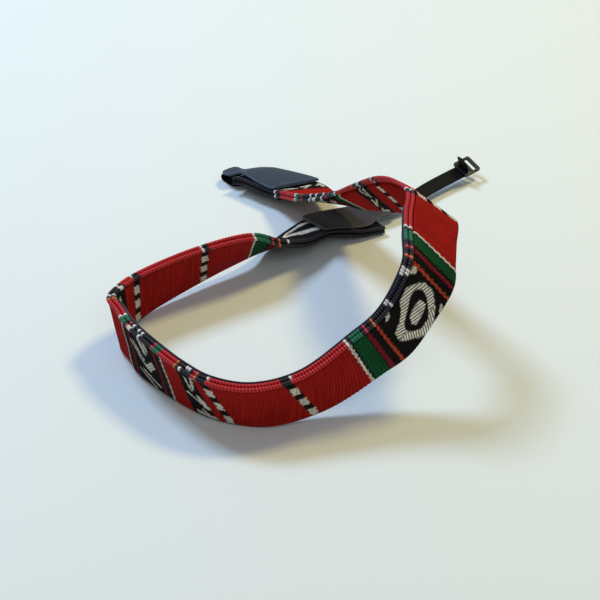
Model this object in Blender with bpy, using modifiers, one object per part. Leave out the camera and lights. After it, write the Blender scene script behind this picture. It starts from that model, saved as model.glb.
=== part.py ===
"""Coiled camera strap: a hand-woven band that lies draped in one wide loop.

The band stands on its foot edge round the front and the left of the loop, climbs to a high bend on the right, and
falls nearly flat at both ends, where a leather tab, a webbing and a slider end it. Metres, +Z up, +Y to the back.
"""

import math

import bmesh
import bpy
import numpy as np
from mathutils import Matrix, Vector

# The loop that the band is draped in, which the stations below are shares of
LOOP_WIDTH = 0.200
LOOP_DEPTH = 0.250
LOOP_HEIGHT = 0.085

# Band woven double wide and folded along its foot edge, so that its two corded selvedges meet at the top edge
BAND_WIDTH = 0.0335
PANEL_THICKNESS = 0.0036
CORD_DIAMETER = 0.0024
LINING_THICKNESS = 0.0010
LINING_START = 0.238
LINING_END = 0.506
GAP = 0.0003

# Leather tab on each end
TAB_LENGTH = 0.056
TAB_TOP_REACH = 0.0165
TAB_FOOT_REACH = 0.0165
LEATHER_THICKNESS = 0.0015
NECK_LENGTH = 0.016

# Webbing and slider
WEBBING_WIDTH = 0.010
WEBBING_THICKNESS = 0.0011
WEBBING_TUCK = 0.012
WEBBING_B_LENGTH = 0.064
WEBBING_A_RUN = 0.036
FOLD_START = 0.25
TAIL_BEND = 0.0020
TAIL_LEAN = math.radians(115)
TAIL_STEPS = (0.4, 0.8, 1.0)
TAIL_TIP = 0.25
TAIL_A = 0.0015
TAIL_B = 0.0090
SLIDER_WIDTH = 0.0140
SLIDER_THICKNESS = 0.0018
SLIDER_BAR = 0.0026
SLIDER_SLOT = 0.0032
SLIDER_SIDE = 0.0017
SLIDER_CORNER = 0.0016
SLOT_CORNER = 0.0003
SLIDER_SETBACK = 0.0020

# How finely the swept pieces are cut
BAND_STEP = 0.0055
TAB_STEP = 0.0025
WEBBING_STEP = 0.0050
SPAN_CUTS = 40
BEND_CUTS = 8
CORNER_CUTS = 4

# The run of the strap from end A, round the loop, to end B. The first three columns are the place of the band's
# top edge as shares of the loop's width, depth and height, from a point on the floor in the middle of the loop. The
# next three are the direction across the band, from its top edge to its foot edge. The last is how far the pair of
# selvedge cords has rolled, in degrees: at 0 they lie side by side through the thickness, at 90 across the face.
STATIONS = [
    # east, north, height, across_east, across_north, across_up, roll
    (-0.287, 0.518, 0.042, 0.70, 0.70, -0.10, 0),
    (-0.252, 0.490, 0.073, 0.62, 0.76, -0.17, 0),
    (-0.204, 0.492, 0.094, 0.65, 0.73, -0.20, 0),
    (-0.145, 0.455, 0.106, 0.72, 0.65, -0.15, 0),
    (-0.091, 0.422, 0.106, 0.88, 0.45, -0.05, 0),
    (-0.059, 0.382, 0.165, 0.87, 0.47, -0.13, 0),
    (0.000, 0.300, 0.282, 0.76, 0.54, -0.35, 0),
    (0.074, 0.220, 0.447, 0.64, 0.53, -0.55, 40),
    (0.144, 0.136, 0.671, 0.60, 0.36, -0.71, 70),
    (0.217, 0.038, 0.906, 0.70, -0.02, -0.71, 75),
    (0.260, -0.021, 0.976, 0.77, -0.30, -0.56, 75),
    (0.287, -0.074, 1.000, 0.82, -0.33, -0.47, 75),
    (0.278, -0.156, 0.988, 0.83, -0.34, -0.47, 75),
    (0.274, -0.214, 0.965, 0.80, -0.32, -0.50, 70),
    (0.273, -0.296, 0.929, 0.76, -0.04, -0.65, 60),
    (0.250, -0.340, 0.812, 0.65, 0.12, -0.75, 50),
    (0.200, -0.376, 0.647, 0.545, 0.115, -0.83, 30),
    (0.135, -0.404, 0.541, 0.50, 0.18, -0.85, 15),
    (0.000, -0.468, 0.388, 0.42, 0.27, -0.865, 5),
    (-0.133, -0.496, 0.356, 0.36, 0.22, -0.905, 0),
    (-0.237, -0.474, 0.360, 0.35, 0.14, -0.92, 0),
    (-0.310, -0.429, 0.374, 0.29, 0.05, -0.955, 0),
    (-0.394, -0.351, 0.382, 0.24, -0.05, -0.97, 0),
    (-0.460, -0.277, 0.386, 0.18, -0.08, -0.98, 0),
    (-0.493, -0.220, 0.386, 0.18, -0.11, -0.975, 0),
    (-0.518, -0.178, 0.384, 0.18, -0.14, -0.97, 0),
    (-0.497, -0.134, 0.384, 0.08, -0.02, -0.99, 0),
    (-0.454, -0.090, 0.384, -0.03, 0.10, -0.98, 0),
    (-0.285, 0.008, 0.400, -0.08, 0.35, -0.92, 0),
    (-0.130, 0.078, 0.370, -0.15, 0.58, -0.78, 0),
    (-0.050, 0.122, 0.230, -0.28, 0.75, -0.54, 0),
    (0.024, 0.167, 0.150, -0.36, 0.87, -0.30, 0),
    (0.095, 0.230, 0.106, -0.45, 0.86, -0.24, 0),
    (0.211, 0.270, 0.042, -0.50, 0.86, -0.05, 0),
    (0.358, 0.345, 0.006, -0.56, 0.81, 0.11, 0),
    (0.470, 0.438, -0.010, -0.57, 0.76, 0.22, 0),
    (0.562, 0.506, -0.002, -0.55, 0.80, 0.22, 0),
]

# The outline of a leather tab, from the tip of its neck to its wide end
TAB_OUTLINE = [
    # share of the tab's length, share of its width
    (0.00, 0.34),
    (0.03, 0.42),
    (0.14, 0.45),
    (0.28, 0.43),
    (0.33, 0.58),
    (0.42, 0.80),
    (0.60, 0.92),
    (0.80, 0.98),
    (0.96, 1.00),
    (1.00, 0.95),
]

MATERIALS = {
    # colour, roughness, metallic
    "woven_wool": ((0.42, 0.02, 0.015), 0.85, 0.0),
    "cord_wool": ((0.50, 0.03, 0.04), 0.80, 0.0),
    "navy_cloth": ((0.02, 0.03, 0.07), 0.90, 0.0),
    "slate_leather": ((0.05, 0.06, 0.085), 0.45, 0.0),
    "black_webbing": ((0.012, 0.012, 0.012), 0.70, 0.0),
    "black_plastic": ((0.010, 0.010, 0.010), 0.35, 0.0),
}


def clear_scene():
    for thing in list(bpy.data.objects):
        bpy.data.objects.remove(thing, do_unlink=True)


def material(name):
    """A Principled BSDF with the piece's own colour, made once."""
    if name in bpy.data.materials:
        return bpy.data.materials[name]
    colour, roughness, metallic = MATERIALS[name]
    made = bpy.data.materials.new(name)
    made.use_nodes = True
    shader = made.node_tree.nodes["Principled BSDF"]
    shader.inputs["Base Color"].default_value = (*colour, 1.0)
    shader.inputs["Roughness"].default_value = roughness
    shader.inputs["Metallic"].default_value = metallic
    return made


def smooth_curve(points, per_span):
    """A curve through all the points, each span paced by the square root of its length so that it never loops."""
    points = np.array(points)
    padded = np.vstack([2 * points[0] - points[1], points, 2 * points[-1] - points[-2]])
    curve = []
    for i in range(1, len(padded) - 2):
        a, b, c, d = padded[i - 1 : i + 3]
        t0 = 0.0
        t1 = t0 + np.linalg.norm((b - a)[:3]) ** 0.5
        t2 = t1 + np.linalg.norm((c - b)[:3]) ** 0.5
        t3 = t2 + np.linalg.norm((d - c)[:3]) ** 0.5
        for t in np.linspace(t1, t2, per_span, endpoint=False):
            ab = (t1 - t) / (t1 - t0) * a + (t - t0) / (t1 - t0) * b
            bc = (t2 - t) / (t2 - t1) * b + (t - t1) / (t2 - t1) * c
            cd = (t3 - t) / (t3 - t2) * c + (t - t2) / (t3 - t2) * d
            abc = (t2 - t) / (t2 - t0) * ab + (t - t0) / (t2 - t0) * bc
            bcd = (t3 - t) / (t3 - t1) * bc + (t - t1) / (t3 - t1) * cd
            curve.append((t2 - t) / (t2 - t1) * abc + (t - t1) / (t2 - t1) * bcd)
    curve.append(points[-1])
    return np.array(curve)


class Run:
    """The middle line of the strap, with the way across it and the way out of its front at any distance along."""

    def __init__(self):
        rows = []
        for east, north, height, *across, roll in STATIONS:
            top = np.array([east * LOOP_WIDTH, north * LOOP_DEPTH, height * LOOP_HEIGHT])
            across = np.array(across) / np.linalg.norm(across)
            rows.append([*(top + across * BAND_WIDTH / 2), *across, roll])
        fine = smooth_curve(rows, SPAN_CUTS)
        self.middle = fine[:, :3]
        self.across = fine[:, 3:6] / np.linalg.norm(fine[:, 3:6], axis=1)[:, None]
        self.roll = np.radians(np.maximum(fine[:, 6], 0.0))
        steps = np.linalg.norm(np.diff(self.middle, axis=0), axis=1)
        self.along = np.concatenate([[0.0], np.cumsum(steps)])
        self.length = self.along[-1]
        ahead = np.gradient(self.middle, self.along, axis=0)
        self.ahead = ahead / np.linalg.norm(ahead, axis=1)[:, None]

    def read(self, table, along):
        values = [np.interp(along, self.along, table[:, k]) for k in range(3)]
        return Vector(values)

    def frame(self, along):
        """The middle point, and the unit directions ahead, across and out of the front face."""
        overrun = min(along, 0.0) + max(along - self.length, 0.0)
        ahead = self.read(self.ahead, along).normalized()
        across = self.read(self.across, along).normalized()
        front = ahead.cross(across).normalized()
        return self.read(self.middle, along) + ahead * overrun, ahead, across, front

    def point(self, along, aside, level):
        """The point that lies aside of the middle line, to the foot edge, and level above it, to the front."""
        middle, _, across, front = self.frame(along)
        return middle + across * aside + front * level


def evenly(start, end, step):
    return np.linspace(start, end, max(2, math.ceil(abs(end - start) / step) + 1))


def finish(name, data, collection, finish_name):
    made = bpy.data.objects.new(name, data)
    made.data.materials.append(material(finish_name))
    collection.objects.link(made)
    return made


def ribbon(name, rungs, thickness, collection, finish_name):
    """A flat strip whose cross rows are the rungs, made a wall of the thickness."""
    bm = bmesh.new()
    long, wide = len(rungs) - 1, len(rungs[0]) - 1
    bmesh.ops.create_grid(bm, x_segments=long, y_segments=wide, size=0.5)
    for vert in bm.verts:
        row = round((vert.co.x + 0.5) * long)
        column = round((vert.co.y + 0.5) * wide)
        vert.co = rungs[row][column]
    mesh = bpy.data.meshes.new(name)
    bm.to_mesh(mesh)
    bm.free()
    made = finish(name, mesh, collection, finish_name)
    wall = made.modifiers.new("wall", "SOLIDIFY")
    wall.thickness = thickness
    wall.offset = 0.0
    wall.use_even_offset = True
    return made


def strip(name, run, stops, columns, sides_at, level, thickness, collection, finish_name):
    """A ribbon that follows the strap at one level, between the two sides given for each distance along."""
    rungs = []
    for along in stops:
        near, far = sides_at(along)
        rungs.append([run.point(along, aside, level) for aside in np.linspace(near, far, columns)])
    return ribbon(name, rungs, thickness, collection, finish_name)


def roll_at(run, along):
    return float(np.interp(along, run.along, run.roll))


def panel_sides(run, along):
    """The panel runs from beside the cords to the fold at the foot edge."""
    room = CORD_DIAMETER + GAP
    return -BAND_WIDTH / 2 + room * (1 + math.sin(roll_at(run, along))), BAND_WIDTH / 2


def cord_place(run, along, side):
    """Where a selvedge cord lies, aside and level: side is 1 for the front layer's cord and -1 for the back one's."""
    pitch = CORD_DIAMETER + GAP
    roll = roll_at(run, along)
    aside = -BAND_WIDTH / 2 + CORD_DIAMETER / 2 + pitch / 2 * (1 + side) * math.sin(roll)
    return aside, side * pitch / 2 * math.cos(roll)


def woven_band(run, collection):
    """The folded panel, and the two wrapped selvedge cords that meet along its top edge."""
    stops = evenly(NECK_LENGTH, band_end(run), BAND_STEP)
    strip("woven_band", run, stops, 3, lambda along: panel_sides(run, along), 0.0, PANEL_THICKNESS,
          collection, "woven_wool")
    for name, side in (("selvedge_cord_front", 1), ("selvedge_cord_back", -1)):
        cord = bpy.data.curves.new(name, "CURVE")
        cord.dimensions = "3D"
        cord.bevel_depth = CORD_DIAMETER / 2
        cord.bevel_resolution = 2
        cord.use_fill_caps = True
        line = cord.splines.new("POLY")
        line.points.add(len(stops) - 1)
        for spot, along in zip(line.points, stops):
            spot.co = (*run.point(along, *cord_place(run, along, side)), 1.0)
        finish(name, cord, collection, "cord_wool")


def band_end(run):
    """Where the woven band ends, one neck short of the second tab's tip."""
    return run.length - WEBBING_B_LENGTH - NECK_LENGTH


def lining(run, collection):
    """A cloth on the reverse of the front stretch, whose upper edge shows beside the cords."""
    level = -(1.5 * GAP + CORD_DIAMETER + LINING_THICKNESS / 2)
    side = BAND_WIDTH / 2 - GAP
    strip("lining", run, evenly(LINING_START, LINING_END, BAND_STEP), 3, lambda _: (-side, side), level,
          LINING_THICKNESS, collection, "navy_cloth")


def leather_tab(name, run, tip, way, collection):
    """A tapered tab on the front face, from the tip of its neck to its wide end."""
    shares, widths = zip(*TAB_OUTLINE)

    def sides_at(along):
        width = np.interp(abs(along - tip) / TAB_LENGTH, shares, widths)
        return -width * TAB_TOP_REACH, width * TAB_FOOT_REACH

    even = evenly(0.0, 1.0, TAB_STEP / TAB_LENGTH)
    stops = [tip + way * share * TAB_LENGTH for share in sorted(set(even) | set(shares))]
    level = leather_underside() + LEATHER_THICKNESS / 2
    strip(name, run, stops, 3, sides_at, level, LEATHER_THICKNESS, collection, "slate_leather")


def leather_underside():
    """The leather lies on the front cord, which stands proud of the panel."""
    return 1.5 * GAP + CORD_DIAMETER


def webbing_level():
    """The webbing lies just under the leather neck."""
    return leather_underside() - GAP - WEBBING_THICKNESS / 2


def tail(origin, ahead, up, straight):
    """The end of a webbing, which turns up through the slider's first slot and leans back, as centre points."""
    turn = [origin + ahead * TAIL_BEND * math.sin(a) + up * TAIL_BEND * (1 - math.cos(a))
            for a in np.linspace(0.0, TAIL_LEAN, BEND_CUTS)]
    heading = ahead * math.cos(TAIL_LEAN) + up * math.sin(TAIL_LEAN)
    return turn + [turn[-1] + heading * straight * share for share in TAIL_STEPS]


def webbing(name, centres, across, collection):
    """A woven webbing through the centre points, cut to a blunt point at its free end."""
    rungs = []
    for i, (centre, side) in enumerate(zip(centres, across)):
        half = WEBBING_WIDTH / 2 * (TAIL_TIP if i == len(centres) - 1 else 1.0)
        rungs.append([centre - side * half, centre + side * half])
    ribbon(name, rungs, WEBBING_THICKNESS, collection, "black_webbing")


def slider(name, origin, ahead, across, up, collection):
    """A tri-glide slider: a flat plate with two slots, whose near bar lies on the webbing."""
    length = 3 * SLIDER_BAR + 2 * SLIDER_SLOT
    outline = bpy.data.curves.new(name, "CURVE")
    outline.dimensions = "2D"
    outline.fill_mode = "BOTH"
    outline.extrude = SLIDER_THICKNESS / 2

    def loop(low_x, high_x, half_y, corner):
        line = outline.splines.new("POLY")
        spots = []
        for quarter, (x, y) in enumerate([(high_x, half_y), (low_x, half_y), (low_x, -half_y), (high_x, -half_y)]):
            inward_x = -1 if x == high_x else 1
            inward_y = -1 if y == half_y else 1
            for turn in np.linspace(0.0, math.pi / 2, CORNER_CUTS):
                angle = quarter * math.pi / 2 + turn
                spots.append((x + inward_x * corner + corner * math.cos(angle),
                              y + inward_y * corner + corner * math.sin(angle)))
        line.points.add(len(spots) - 1)
        for spot, (x, y) in zip(line.points, spots):
            spot.co = (x, y, 0.0, 1.0)
        line.use_cyclic_u = True

    loop(0.0, length, SLIDER_WIDTH / 2, SLIDER_CORNER)
    for slot in range(2):
        near = SLIDER_BAR + slot * (SLIDER_BAR + SLIDER_SLOT)
        loop(near, near + SLIDER_SLOT, SLIDER_WIDTH / 2 - SLIDER_SIDE, SLOT_CORNER)
    made = finish(name, outline, collection, "black_plastic")
    lift = WEBBING_THICKNESS / 2 + GAP + SLIDER_THICKNESS / 2
    place = origin - ahead * SLIDER_SETBACK + up * lift
    turn = Matrix((ahead, across, up)).transposed().to_4x4()
    made.matrix_world = Matrix.Translation(place) @ turn


def end_b(run, collection):
    """The webbing and the slider that trail from the tip of the second tab."""
    tip = run.length - WEBBING_B_LENGTH
    stops = evenly(tip - WEBBING_TUCK, run.length, WEBBING_STEP)
    centres = [run.point(along, 0.0, webbing_level()) for along in stops]
    across = [run.frame(along)[2] for along in stops]
    _, ahead, side, up = run.frame(run.length)
    end = tail(centres[-1], ahead, up, TAIL_B)[1:]
    webbing("webbing_b", centres + end, across + [side] * len(end), collection)
    slider("buckle_b", centres[-1], ahead, side, up, collection)


def end_a(run, collection):
    """The webbing of the first tab, folded under its neck and laid on the floor beneath the tab."""
    stops = evenly(WEBBING_TUCK, 0.0, WEBBING_STEP)
    centres = [run.point(along, 0.0, webbing_level()) for along in stops]
    across = [run.frame(along)[2] for along in stops]
    _, ahead, side, _ = run.frame(0.0)
    floor = floor_level(run)
    away = Vector((-ahead.x, -ahead.y, 0.0)).normalized()
    high = centres[-1]
    radius = (high.z - floor) / 2
    flat_side = Vector((side.x, side.y, 0.0)).normalized()
    for turn in np.linspace(FOLD_START, 1.0, BEND_CUTS) * math.pi:
        drop = radius * (1 - math.cos(turn))
        centres.append(Vector((high.x, high.y, high.z - drop)) + away * radius * math.sin(turn))
        across.append(flat_side)
    for along in evenly(0.0, WEBBING_A_RUN, WEBBING_STEP)[1:]:
        middle, _, side, _ = run.frame(along)
        centres.append(Vector((middle.x, middle.y, floor)))
        across.append(Vector((side.x, side.y, 0.0)).normalized())
    last = across[-1]
    up = Vector((0.0, 0.0, 1.0))
    ahead = last.cross(up).normalized()
    if ahead.dot(centres[-1] - centres[-2]) < 0:
        ahead = -ahead
    end = tail(centres[-1], ahead, up, TAIL_A)[1:]
    webbing("webbing_a", centres + end, across + [last] * len(end), collection)
    slider("buckle_a", centres[-1], ahead, up.cross(ahead), up, collection)


def floor_level(run):
    """The height of a webbing's middle where it lies on what the band stands on."""
    stops = evenly(NECK_LENGTH, band_end(run), BAND_STEP)
    foot = min(run.point(along, BAND_WIDTH / 2, level).z
               for along in stops for level in (-PANEL_THICKNESS / 2, PANEL_THICKNESS / 2))
    return foot + WEBBING_THICKNESS / 2


def stand_on_origin(collection):
    """Moves the whole strap so that the origin is at the bottom centre of its box."""
    bpy.context.view_layer.update()
    depsgraph = bpy.context.evaluated_depsgraph_get()
    points = []
    for thing in collection.objects:
        mesh = thing.evaluated_get(depsgraph).to_mesh()
        points += [thing.matrix_world @ vert.co for vert in mesh.vertices]
        thing.evaluated_get(depsgraph).to_mesh_clear()
    points = np.array(points)
    low, high = points.min(axis=0), points.max(axis=0)
    shift = Vector(((low[0] + high[0]) / 2, (low[1] + high[1]) / 2, low[2]))
    for thing in collection.objects:
        thing.location -= shift


def main():
    clear_scene()
    collection = bpy.data.collections.new("coiled_camera_strap")
    bpy.context.scene.collection.children.link(collection)
    run = Run()
    woven_band(run, collection)
    lining(run, collection)
    leather_tab("leather_tab_a", run, 0.0, 1, collection)
    leather_tab("leather_tab_b", run, run.length - WEBBING_B_LENGTH, -1, collection)
    end_a(run, collection)
    end_b(run, collection)
    stand_on_origin(collection)


main()
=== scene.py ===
"""Coiled camera strap: the looks of a hand-woven band that lies draped in one wide loop."""

import math

import bmesh
import bpy
import numpy as np
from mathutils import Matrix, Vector


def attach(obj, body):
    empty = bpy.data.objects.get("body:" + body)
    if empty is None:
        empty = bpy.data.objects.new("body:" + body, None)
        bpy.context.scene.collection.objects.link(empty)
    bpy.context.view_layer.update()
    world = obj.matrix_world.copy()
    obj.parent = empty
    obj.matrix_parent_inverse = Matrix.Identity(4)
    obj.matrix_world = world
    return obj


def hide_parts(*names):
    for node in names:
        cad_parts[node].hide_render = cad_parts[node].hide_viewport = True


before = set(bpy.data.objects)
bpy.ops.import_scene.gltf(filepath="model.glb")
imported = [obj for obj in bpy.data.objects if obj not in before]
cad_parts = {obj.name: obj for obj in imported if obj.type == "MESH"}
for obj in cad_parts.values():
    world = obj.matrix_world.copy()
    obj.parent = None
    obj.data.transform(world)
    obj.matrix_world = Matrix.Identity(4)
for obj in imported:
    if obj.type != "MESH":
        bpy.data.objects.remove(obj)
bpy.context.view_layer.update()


# The camera
# It looks down at the loop from the front, from a metre off and 34 degrees above the floor.
# The lens is a long one, so that the loop fills most of the frame.

LOOP_CENTRE = Vector((-0.005663, -0.012760, 0.000947))
CAMERA_DISTANCE = 1.0
CAMERA_ELEVATION = math.radians(34.0)
LENS = 103.8
SENSOR_WIDTH = 36.0

camera_data = bpy.data.cameras.new("view")
camera_data.lens = LENS
camera_data.sensor_width = SENSOR_WIDTH
camera = bpy.data.objects.new("view", camera_data)
bpy.context.scene.collection.objects.link(camera)
away = Vector((0.0, -math.cos(CAMERA_ELEVATION), math.sin(CAMERA_ELEVATION)))
camera.location = LOOP_CENTRE + away * CAMERA_DISTANCE
camera.rotation_euler = away.to_track_quat("Z", "Y").to_euler()
bpy.context.scene.camera = camera


# The woven band
# Wool, woven double wide and folded along its foot edge, so both faces show the pattern. Fine ribs cross it,
# and each motif is a bundle of cream threads that float over a black ground.

LOOP_WIDTH = 0.200
LOOP_DEPTH = 0.250
LOOP_HEIGHT = 0.085
BAND_WIDTH = 0.0335
PANEL_THICKNESS = 0.0036
CORD_DIAMETER = 0.0024
GAP = 0.0003
NECK_LENGTH = 0.016
WEBBING_B_LENGTH = 0.064

# The run of the strap from end A to end B: the place of the top edge as shares of the loop's width, depth and
# height, then the direction from the top edge to the foot edge, and how far the pair of selvedge cords has
# rolled, in degrees
STATIONS = [
    # east, north, height, across_east, across_north, across_up, roll
    (-0.287, 0.518, 0.042, 0.70, 0.70, -0.10, 0),
    (-0.252, 0.490, 0.073, 0.62, 0.76, -0.17, 0),
    (-0.204, 0.492, 0.094, 0.65, 0.73, -0.20, 0),
    (-0.145, 0.455, 0.106, 0.72, 0.65, -0.15, 0),
    (-0.091, 0.422, 0.106, 0.88, 0.45, -0.05, 0),
    (-0.059, 0.382, 0.165, 0.87, 0.47, -0.13, 0),
    (0.000, 0.300, 0.282, 0.76, 0.54, -0.35, 0),
    (0.074, 0.220, 0.447, 0.64, 0.53, -0.55, 40),
    (0.144, 0.136, 0.671, 0.60, 0.36, -0.71, 70),
    (0.217, 0.038, 0.906, 0.70, -0.02, -0.71, 75),
    (0.260, -0.021, 0.976, 0.77, -0.30, -0.56, 75),
    (0.287, -0.074, 1.000, 0.82, -0.33, -0.47, 75),
    (0.278, -0.156, 0.988, 0.83, -0.34, -0.47, 75),
    (0.274, -0.214, 0.965, 0.80, -0.32, -0.50, 70),
    (0.273, -0.296, 0.929, 0.76, -0.04, -0.65, 60),
    (0.250, -0.340, 0.812, 0.65, 0.12, -0.75, 50),
    (0.200, -0.376, 0.647, 0.545, 0.115, -0.83, 30),
    (0.135, -0.404, 0.541, 0.50, 0.18, -0.85, 15),
    (0.000, -0.468, 0.388, 0.42, 0.27, -0.865, 5),
    (-0.133, -0.496, 0.356, 0.36, 0.22, -0.905, 0),
    (-0.237, -0.474, 0.360, 0.35, 0.14, -0.92, 0),
    (-0.310, -0.429, 0.374, 0.29, 0.05, -0.955, 0),
    (-0.394, -0.351, 0.382, 0.24, -0.05, -0.97, 0),
    (-0.460, -0.277, 0.386, 0.18, -0.08, -0.98, 0),
    (-0.493, -0.220, 0.386, 0.18, -0.11, -0.975, 0),
    (-0.518, -0.178, 0.384, 0.18, -0.14, -0.97, 0),
    (-0.497, -0.134, 0.384, 0.08, -0.02, -0.99, 0),
    (-0.454, -0.090, 0.384, -0.03, 0.10, -0.98, 0),
    (-0.285, 0.008, 0.400, -0.08, 0.35, -0.92, 0),
    (-0.130, 0.078, 0.370, -0.15, 0.58, -0.78, 0),
    (-0.050, 0.122, 0.230, -0.28, 0.75, -0.54, 0),
    (0.024, 0.167, 0.150, -0.36, 0.87, -0.30, 0),
    (0.095, 0.230, 0.106, -0.45, 0.86, -0.24, 0),
    (0.211, 0.270, 0.042, -0.50, 0.86, -0.05, 0),
    (0.358, 0.345, 0.006, -0.56, 0.81, 0.11, 0),
    (0.470, 0.438, -0.010, -0.57, 0.76, 0.22, 0),
    (0.562, 0.506, -0.002, -0.55, 0.80, 0.22, 0),
]

SPAN_CUTS = 40
LAYER_SPLIT = 0.00005
RIB_PITCH = 0.00135
RIB_HEIGHT = 0.00013
ROWS_PER_RIB = 3
LAYER_COLUMNS = 58
TOP_ROUND = 0.0010
PUCKER = 0.00016
PUCKER_LENGTH = 0.031
PUCKER_WIDTH = 0.019
PUCKER_PHASE = 1.0
MERGE_DISTANCE = 0.000001

# How far the ribs lean, as along for across, by metres along. They pull over where the front of the loop
# hangs.
RIB_LEANS = [
    # along, lean
    (0.33, 0.0), (0.36, 0.42), (0.41, 0.42), (0.45, 0.0),
]


def smooth_curve(points):
    """A curve through all the points, paced by the square roots of the spans so that it never loops."""
    padded = np.vstack([2 * points[0] - points[1], points, 2 * points[-1] - points[-2]])
    curve = []
    for i in range(1, len(padded) - 2):
        a, b, c, d = padded[i - 1 : i + 3]
        t0 = 0.0
        t1 = t0 + np.linalg.norm((b - a)[:3]) ** 0.5
        t2 = t1 + np.linalg.norm((c - b)[:3]) ** 0.5
        t3 = t2 + np.linalg.norm((d - c)[:3]) ** 0.5
        for t in np.linspace(t1, t2, SPAN_CUTS, endpoint=False):
            ab = (t1 - t) / (t1 - t0) * a + (t - t0) / (t1 - t0) * b
            bc = (t2 - t) / (t2 - t1) * b + (t - t1) / (t2 - t1) * c
            cd = (t3 - t) / (t3 - t2) * c + (t - t2) / (t3 - t2) * d
            abc = (t2 - t) / (t2 - t0) * ab + (t - t0) / (t2 - t0) * bc
            bcd = (t3 - t) / (t3 - t1) * bc + (t - t1) / (t3 - t1) * cd
            curve.append((t2 - t) / (t2 - t1) * abc + (t - t1) / (t2 - t1) * bcd)
    curve.append(points[-1])
    return np.array(curve)


def unit(vectors):
    return vectors / np.linalg.norm(vectors, axis=-1)[..., None]


class Strap:
    """The middle line of the strap, and what lies beside and above it at any distance along."""

    def __init__(self):
        rows = np.array(STATIONS, dtype=float)
        across = unit(rows[:, 3:6])
        top = rows[:, :3] * (LOOP_WIDTH, LOOP_DEPTH, LOOP_HEIGHT)
        fine = smooth_curve(np.hstack([top + across * BAND_WIDTH / 2, across, rows[:, 6:]]))
        self.middle = fine[:, :3]
        self.across = unit(fine[:, 3:6])
        self.roll = np.radians(np.maximum(fine[:, 6], 0.0))
        steps = np.linalg.norm(np.diff(self.middle, axis=0), axis=1)
        self.along = np.concatenate([[0.0], np.cumsum(steps)])
        self.length = self.along[-1]
        self.ahead = unit(np.gradient(self.middle, self.along, axis=0))

    def read(self, table, along):
        return np.stack([np.interp(along, self.along, table[:, k]) for k in range(3)], axis=-1)

    def frame(self, along):
        """Middle points, and the unit directions ahead, across and out of the front face."""
        along = np.asarray(along, dtype=float)
        overrun = np.minimum(along, 0.0) + np.maximum(along - self.length, 0.0)
        ahead = unit(self.read(self.ahead, along))
        across = unit(self.read(self.across, along))
        middle = self.read(self.middle, along) + ahead * overrun[..., None] + np.array(LOOP_CENTRE)
        return middle, ahead, across, unit(np.cross(ahead, across))

    def place(self, along, aside, level):
        """Points aside of the middle line, towards the foot edge, and level above it, towards the front."""
        middle, _, across, front = self.frame(along)
        return middle + across * np.asarray(aside)[..., None] + front * np.asarray(level)[..., None]

    def roll_at(self, along):
        return np.interp(along, self.along, self.roll)


strap = Strap()
BAND_START = NECK_LENGTH
BAND_END = strap.length - WEBBING_B_LENGTH - NECK_LENGTH


def linear(red, green, blue):
    """A colour as it is read off a screen, from 0 to 255, as the linear light that a shader takes."""
    screen = np.array((red, green, blue)) / 255.0
    return np.where(screen <= 0.04045, screen / 12.92, ((screen + 0.055) / 1.055) ** 2.4)


# The dyed yarns. Those of the face are matt, and the cords' are finer and brighter.
FACE_YARN = {
    "red": linear(176, 26, 18),
    "cream": linear(238, 228, 208),
    "green": linear(18, 84, 44),
    "moss": linear(30, 38, 24),
    "burgundy": linear(140, 30, 42),
    "orange": linear(198, 76, 46),
    "black": linear(26, 21, 20),
}
CORD_YARN = {
    "red": linear(204, 26, 34),
    "cream": linear(240, 236, 232),
    "green": linear(20, 120, 88),
    "moss": linear(20, 120, 88),
    "burgundy": linear(196, 60, 78),
    "orange": linear(214, 112, 70),
    "black": linear(14, 20, 36),
}

# Where each stripe of the chart starts, in millimetres from end A along the top edge, and its yarn
STRIPES = [
    (0, "black"), (64, "red"), (81.5, "cream"), (83, "green"), (87.5, "black"), (88.5, "burgundy"),
    (90.5, "black"), (114.5, "burgundy"), (116.7, "black"), (121.3, "green"), (125, "cream"), (126.8, "red"),
    (148.5, "black"), (164, "red"), (176, "black"), (181, "red"), (222.5, "black"), (228, "red"),
    (258.6, "cream"), (260.2, "black"), (261.4, "green"), (269.2, "black"), (271.4, "burgundy"),
    (273.8, "black"), (278.2, "orange"), (280, "black"), (319, "orange"), (320.6, "black"),
    (324.4, "burgundy"), (326.6, "black"), (327.3, "green"), (335.3, "black"), (336.6, "cream"),
    (338.2, "red"), (373.3, "black"), (378.5, "red"), (418.6, "black"), (423.6, "red"), (427.6, "black"),
    (439.2, "red"), (451.8, "cream"), (453.2, "moss"), (457, "black"), (457.8, "burgundy"),
    (460, "black"), (482, "burgundy"), (484.2, "black"), (485.4, "moss"), (490.2, "cream"), (492, "red"),
    (511, "black"), (525.8, "red"), (534.2, "black"), (539.2, "red"), (583.3, "black"), (588.3, "red"),
    (618.5, "cream"), (620, "black"), (621, "green"), (630.5, "black"), (632.8, "burgundy"), (635, "black"),
    (638, "orange"), (639.8, "black"),
]

# The weft lies askew where the band is bent. The lead is how far a stripe's top end runs ahead of its foot
# end, in millimetres.
WEFT_LEAD = [
    # along, lead
    (50, -7.0), (64, -7.0), (82, -3.0), (95, 0.0), (240, 0.0), (259, -6.5), (270, -8.5), (279, -5.5),
    (300, -1.0), (318, 0.0), (337, -2.2), (355, 0.0), (375, 3.0), (405, 3.0), (421, 5.0), (430, 1.0),
    (445, 0.0),
]

# The dashed bands: a row of cream blocks across a black stripe. Where each is centred, in millimetres.
DASHED_BANDS = (178.5, 225.3, 375.9, 421.0, 536.7, 585.8)
DASH_PLACES = (0.28, 0.57, 0.87)
DASH_HALF_WIDTH = 0.085
DASH_HALF_LENGTH = 2.2
DASH_LEAN = 4.5

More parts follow.
